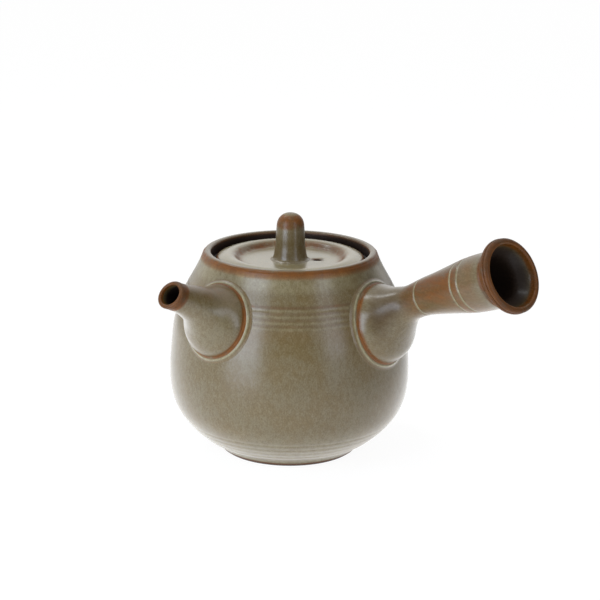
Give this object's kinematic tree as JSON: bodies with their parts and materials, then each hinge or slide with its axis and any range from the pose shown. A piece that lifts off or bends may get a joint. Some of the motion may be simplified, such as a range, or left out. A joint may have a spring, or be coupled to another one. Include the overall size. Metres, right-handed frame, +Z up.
{
  "type": "kyusu teapot",
  "caption": "Round side-handled stoneware teapot with a hollow flared handle, a short spout, a sunken lid with a tall knob and turned lines on shoulder and foot.",
  "frame": {"origin": "centre of the flat underside that the pot stands on, on the pot's axis", "axes": "+Z up along the pot's axis, +X towards the handle, -Y towards the spout"},
  "size_m": [0.1649, 0.1239, 0.1059],
  "materials": {
    "satin_glaze": "satin olive-brown glaze, rust where it breaks thin on edges and pale where it pools",
    "pooled_glaze": "pale yellow-green glaze pooled in the joint",
    "pale_glaze": "pale satin glaze, rust on the edges",
    "bare_clay": "dark unglazed stoneware"
  },
  "bodies": {
    "pot": {"pot_body": "satin_glaze", "spout": "satin_glaze", "spout_seam": "pooled_glaze", "spout_strainer": "bare_clay", "handle": "satin_glaze", "handle_seam": "pooled_glaze"},
    "lid": {"lid": "pale_glaze", "lid_knob": "satin_glaze"}
  },
  "joints": [
    {"name": "lid_lift", "type": "slide", "parent": "pot", "child": "lid", "axis": [0, 0, 1], "range_m": [0, 0.04]}
  ]
}
